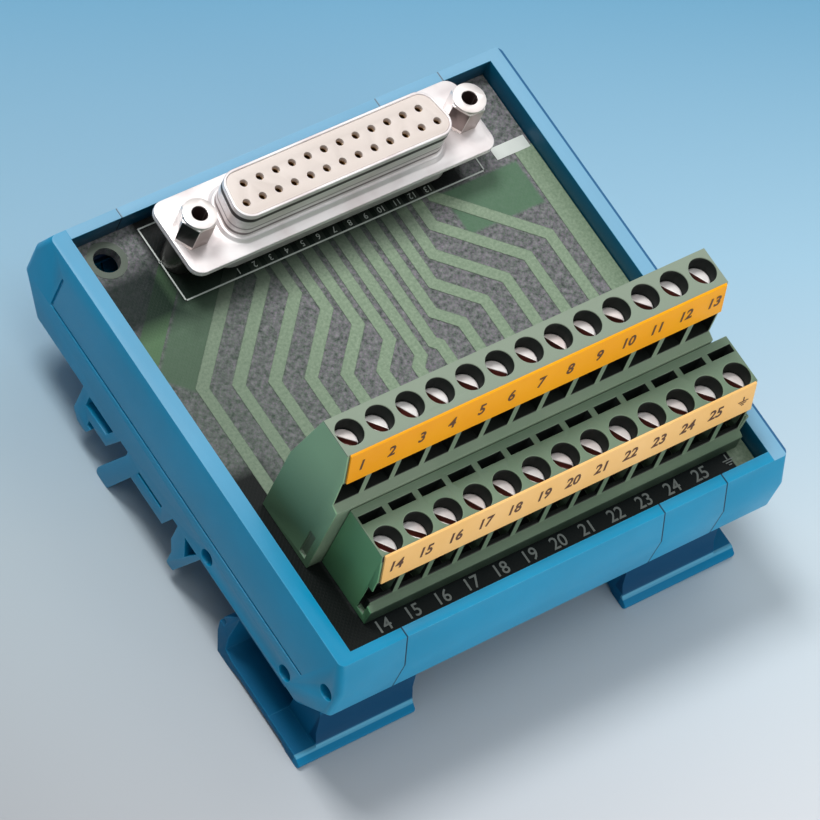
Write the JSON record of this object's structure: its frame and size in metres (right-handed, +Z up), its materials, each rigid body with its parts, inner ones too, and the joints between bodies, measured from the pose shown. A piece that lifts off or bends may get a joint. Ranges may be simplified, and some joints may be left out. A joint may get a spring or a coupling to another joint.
{
  "type": "d-sub terminal block adapter",
  "caption": "Rail mounted tray with a circuit board that leads the contacts of a D-sub socket to two rows of numbered screw terminals.",
  "frame": {"origin": "midway along the tray and over the middle of the rail, at the height on which the adapter stands", "axes": "+X along the terminal rows, +Y from the terminals towards the connector, +Z up out of the tray"},
  "size_m": [0.0788, 0.078, 0.0494],
  "materials": {
    "tray_plastic": "satin moulded",
    "foot_plastic": "satin moulded",
    "board_laminate": "solder mask over glass laminate",
    "track_copper": "copper under solder mask",
    "shell_tin": "tin plated",
    "insulator_plastic": "glass filled",
    "contact_gold": "gold flashed",
    "fastener_nickel": "nickel plated",
    "terminal_plastic": "moulded",
    "marker_plastic": "moulded and printed",
    "clamp_steel": "zinc plated",
    "pin_tin": "tin plated",
    "screw_nickel": "nickel plated"
  },
  "bodies": {
    "adapter": {"side_element_left": "tray_plastic", "side_element_right": "tray_plastic", "base_element_wide": "tray_plastic", "base_element_narrow": "tray_plastic", "rail_foot_left": "foot_plastic", "rail_foot_right": "foot_plastic", "circuit_board": "board_laminate", "board_tracks": "track_copper", "dsub_front_shell": "shell_tin", "dsub_rear_shell": "shell_tin", "dsub_front_insulator": "insulator_plastic", "dsub_rear_insulator": "insulator_plastic", "dsub_contacts": "contact_gold", "jackscrews": "fastener_nickel", "flange_spacers": "fastener_nickel", "terminal_housing_upper": "terminal_plastic", "terminal_housing_lower": "terminal_plastic", "marker_strip_upper": "marker_plastic", "marker_strip_lower": "marker_plastic", "clamp_cages_upper": "clamp_steel", "clamp_cages_lower": "clamp_steel", "terminal_pins_upper": "pin_tin", "terminal_pins_lower": "pin_tin"},
    "terminal_screw_01": {"terminal_screw_01": "screw_nickel"},
    "terminal_screw_02": {"terminal_screw_02": "screw_nickel"},
    "terminal_screw_03": {"terminal_screw_03": "screw_nickel"},
    "terminal_screw_04": {"terminal_screw_04": "screw_nickel"},
    "terminal_screw_05": {"terminal_screw_05": "screw_nickel"},
    "terminal_screw_06": {"terminal_screw_06": "screw_nickel"},
    "terminal_screw_07": {"terminal_screw_07": "screw_nickel"},
    "terminal_screw_08": {"terminal_screw_08": "screw_nickel"},
    "terminal_screw_09": {"terminal_screw_09": "screw_nickel"},
    "terminal_screw_10": {"terminal_screw_10": "screw_nickel"},
    "terminal_screw_11": {"terminal_screw_11": "screw_nickel"},
    "terminal_screw_12": {"terminal_screw_12": "screw_nickel"},
    "terminal_screw_13": {"terminal_screw_13": "screw_nickel"},
    "terminal_screw_14": {"terminal_screw_14": "screw_nickel"},
    "terminal_screw_15": {"terminal_screw_15": "screw_nickel"},
    "terminal_screw_16": {"terminal_screw_16": "screw_nickel"},
    "terminal_screw_17": {"terminal_screw_17": "screw_nickel"},
    "terminal_screw_18": {"terminal_screw_18": "screw_nickel"},
    "terminal_screw_19": {"terminal_screw_19": "screw_nickel"},
    "terminal_screw_20": {"terminal_screw_20": "screw_nickel"},
    "terminal_screw_21": {"terminal_screw_21": "screw_nickel"},
    "terminal_screw_22": {"terminal_screw_22": "screw_nickel"},
    "terminal_screw_23": {"terminal_screw_23": "screw_nickel"},
    "terminal_screw_24": {"terminal_screw_24": "screw_nickel"},
    "terminal_screw_25": {"terminal_screw_25": "screw_nickel"},
    "terminal_screw_26": {"terminal_screw_26": "screw_nickel"}
  },
  "joints": [
    {"name": "screw_01_turn", "type": "hinge", "parent": "adapter", "child": "terminal_screw_01", "pos_m": [-0.0308, -0.0151, 0.04], "axis": [0, 0, 1], "range_deg": [-1350, 0]},
    {"name": "screw_02_turn", "type": "hinge", "parent": "adapter", "child": "terminal_screw_02", "pos_m": [-0.02572, -0.0151, 0.04], "axis": [0, 0, 1], "range_deg": [-1350, 0]},
    {"name": "screw_03_turn", "type": "hinge", "parent": "adapter", "child": "terminal_screw_03", "pos_m": [-0.02064, -0.0151, 0.04], "axis": [0, 0, 1], "range_deg": [-1350, 0]},
    {"name": "screw_04_turn", "type": "hinge", "parent": "adapter", "child": "terminal_screw_04", "pos_m": [-0.01556, -0.0151, 0.04], "axis": [0, 0, 1], "range_deg": [-1350, 0]},
    {"name": "screw_05_turn", "type": "hinge", "parent": "adapter", "child": "terminal_screw_05", "pos_m": [-0.01048, -0.0151, 0.04], "axis": [0, 0, 1], "range_deg": [-1350, 0]},
    {"name": "screw_06_turn", "type": "hinge", "parent": "adapter", "child": "terminal_screw_06", "pos_m": [-0.0054, -0.0151, 0.04], "axis": [0, 0, 1], "range_deg": [-1350, 0]},
    {"name": "screw_07_turn", "type": "hinge", "parent": "adapter", "child": "terminal_screw_07", "pos_m": [-0.00032, -0.0151, 0.04], "axis": [0, 0, 1], "range_deg": [-1350, 0]},
    {"name": "screw_08_turn", "type": "hinge", "parent": "adapter", "child": "terminal_screw_08", "pos_m": [0.00476, -0.0151, 0.04], "axis": [0, 0, 1], "range_deg": [-1350, 0]},
    {"name": "screw_09_turn", "type": "hinge", "parent": "adapter", "child": "terminal_screw_09", "pos_m": [0.00984, -0.0151, 0.04], "axis": [0, 0, 1], "range_deg": [-1350, 0]},
    {"name": "screw_10_turn", "type": "hinge", "parent": "adapter", "child": "terminal_screw_10", "pos_m": [0.01492, -0.0151, 0.04], "axis": [0, 0, 1], "range_deg": [-1350, 0]},
    {"name": "screw_11_turn", "type": "hinge", "parent": "adapter", "child": "terminal_screw_11", "pos_m": [0.02, -0.0151, 0.04], "axis": [0, 0, 1], "range_deg": [-1350, 0]},
    {"name": "screw_12_turn", "type": "hinge", "parent": "adapter", "child": "terminal_screw_12", "pos_m": [0.02508, -0.0151, 0.04], "axis": [0, 0, 1], "range_deg": [-1350, 0]},
    {"name": "screw_13_turn", "type": "hinge", "parent": "adapter", "child": "terminal_screw_13", "pos_m": [0.03016, -0.0151, 0.04], "axis": [0, 0, 1], "range_deg": [-1350, 0]},
    {"name": "screw_14_turn", "type": "hinge", "parent": "adapter", "child": "terminal_screw_14", "pos_m": [-0.02826, -0.02695, 0.04], "axis": [0, 0, 1], "range_deg": [-1350, 0]},
    {"name": "screw_15_turn", "type": "hinge", "parent": "adapter", "child": "terminal_screw_15", "pos_m": [-0.02318, -0.02695, 0.04], "axis": [0, 0, 1], "range_deg": [-1350, 0]},
    {"name": "screw_16_turn", "type": "hinge", "parent": "adapter", "child": "terminal_screw_16", "pos_m": [-0.0181, -0.02695, 0.04], "axis": [0, 0, 1], "range_deg": [-1350, 0]},
    {"name": "screw_17_turn", "type": "hinge", "parent": "adapter", "child": "terminal_screw_17", "pos_m": [-0.01302, -0.02695, 0.04], "axis": [0, 0, 1], "range_deg": [-1350, 0]},
    {"name": "screw_18_turn", "type": "hinge", "parent": "adapter", "child": "terminal_screw_18", "pos_m": [-0.00794, -0.02695, 0.04], "axis": [0, 0, 1], "range_deg": [-1350, 0]},
    {"name": "screw_19_turn", "type": "hinge", "parent": "adapter", "child": "terminal_screw_19", "pos_m": [-0.00286, -0.02695, 0.04], "axis": [0, 0, 1], "range_deg": [-1350, 0]},
    {"name": "screw_20_turn", "type": "hinge", "parent": "adapter", "child": "terminal_screw_20", "pos_m": [0.00222, -0.02695, 0.04], "axis": [0, 0, 1], "range_deg": [-1350, 0]},
    {"name": "screw_21_turn", "type": "hinge", "parent": "adapter", "child": "terminal_screw_21", "pos_m": [0.0073, -0.02695, 0.04], "axis": [0, 0, 1], "range_deg": [-1350, 0]},
    {"name": "screw_22_turn", "type": "hinge", "parent": "adapter", "child": "terminal_screw_22", "pos_m": [0.01238, -0.02695, 0.04], "axis": [0, 0, 1], "range_deg": [-1350, 0]},
    {"name": "screw_23_turn", "type": "hinge", "parent": "adapter", "child": "terminal_screw_23", "pos_m": [0.01746, -0.02695, 0.04], "axis": [0, 0, 1], "range_deg": [-1350, 0]},
    {"name": "screw_24_turn", "type": "hinge", "parent": "adapter", "child": "terminal_screw_24", "pos_m": [0.02254, -0.02695, 0.04], "axis": [0, 0, 1], "range_deg": [-1350, 0]},
    {"name": "screw_25_turn", "type": "hinge", "parent": "adapter", "child": "terminal_screw_25", "pos_m": [0.02762, -0.02695, 0.04], "axis": [0, 0, 1], "range_deg": [-1350, 0]},
    {"name": "screw_26_turn", "type": "hinge", "parent": "adapter", "child": "terminal_screw_26", "pos_m": [0.0327, -0.02695, 0.04], "axis": [0, 0, 1], "range_deg": [-1350, 0]}
  ]
}
